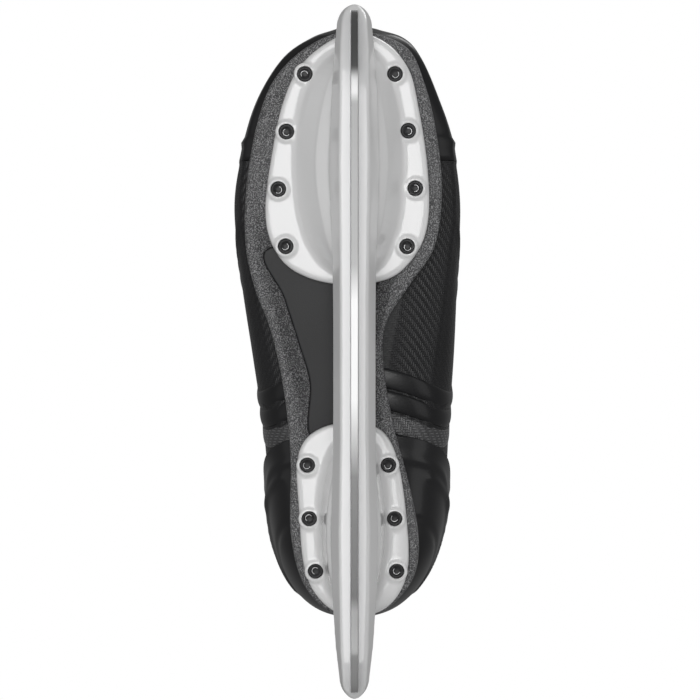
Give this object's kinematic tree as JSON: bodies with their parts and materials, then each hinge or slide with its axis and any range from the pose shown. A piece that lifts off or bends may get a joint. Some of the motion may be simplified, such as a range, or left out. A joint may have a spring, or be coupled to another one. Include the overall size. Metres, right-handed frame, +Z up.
{
  "type": "ice hockey skate",
  "caption": "Right ice hockey skate: stiff laced boot with toe cap, tongue and tendon guard, riveted blade holder and a quick-release steel runner.",
  "frame": {"origin": "on the ice plane, under the middle of the runner, in the plane that halves the steel", "axes": "+X forward to the toe, +Y to the medial (inner) side of the right foot, +Z up"},
  "size_m": [0.3151, 0.1073, 0.2538],
  "materials": {
    "outsole": "textured",
    "arch_panel": "smooth",
    "shell": "satin composite",
    "toe_cap": "gloss",
    "facing": "grained",
    "heel_counter": "gloss",
    "liner": "brushed",
    "footbed": "foam",
    "insole_board": "board",
    "tongue": "felt",
    "tendon_guard": "satin",
    "eyelets": "blackened",
    "laces": "woven",
    "blade_holder": "gloss",
    "pins": "ground",
    "rivets": "blackened",
    "washers": "plain",
    "runner": "ground",
    "trigger": "satin",
    "spring": "wire"
  },
  "bodies": {
    "boot": {"outsole": "outsole", "arch_panel": "arch_panel", "shell_lateral": "shell", "shell_medial": "shell", "toe_cap": "toe_cap", "facing_lateral": "facing", "facing_medial": "facing", "heel_counter": "heel_counter", "liner": "liner", "footbed": "footbed", "insole_board": "insole_board", "tongue": "tongue", "eyelets": "eyelets", "laces": "laces", "blade_holder": "blade_holder", "anchor_pin": "pins", "pivot_pin": "pins", "rivets": "rivets", "rivet_washers": "washers", "trigger_spring": "spring"},
    "runner": {"runner": "runner"},
    "trigger": {"trigger": "trigger"},
    "tongue_top": {"tongue_top": "tongue"},
    "tendon_guard": {"tendon_guard": "tendon_guard"}
  },
  "joints": [
    {"name": "runner_release", "type": "hinge", "parent": "boot", "child": "runner", "pos_m": [0.105, 0, 0.04], "axis": [0, -1, 0], "range_deg": [0, 1.2]},
    {"name": "trigger_pull", "type": "hinge", "parent": "boot", "child": "trigger", "pos_m": [-0.066, 0, 0.046], "axis": [0, -1, 0], "range_deg": [0, 19.5]},
    {"name": "tongue_fold", "type": "hinge", "parent": "boot", "child": "tongue_top", "pos_m": [0.02467, 0, 0.22193], "axis": [0, 1, 0], "range_deg": [0, 40]},
    {"name": "tendon_flex", "type": "hinge", "parent": "boot", "child": "tendon_guard", "pos_m": [-0.10462, 0, 0.20067], "axis": [0, -1, 0], "range_deg": [0, 20]}
  ],
  "couplings": [
    {"joint": "trigger_pull", "follows": "runner_release", "ratio": 16}
  ]
}
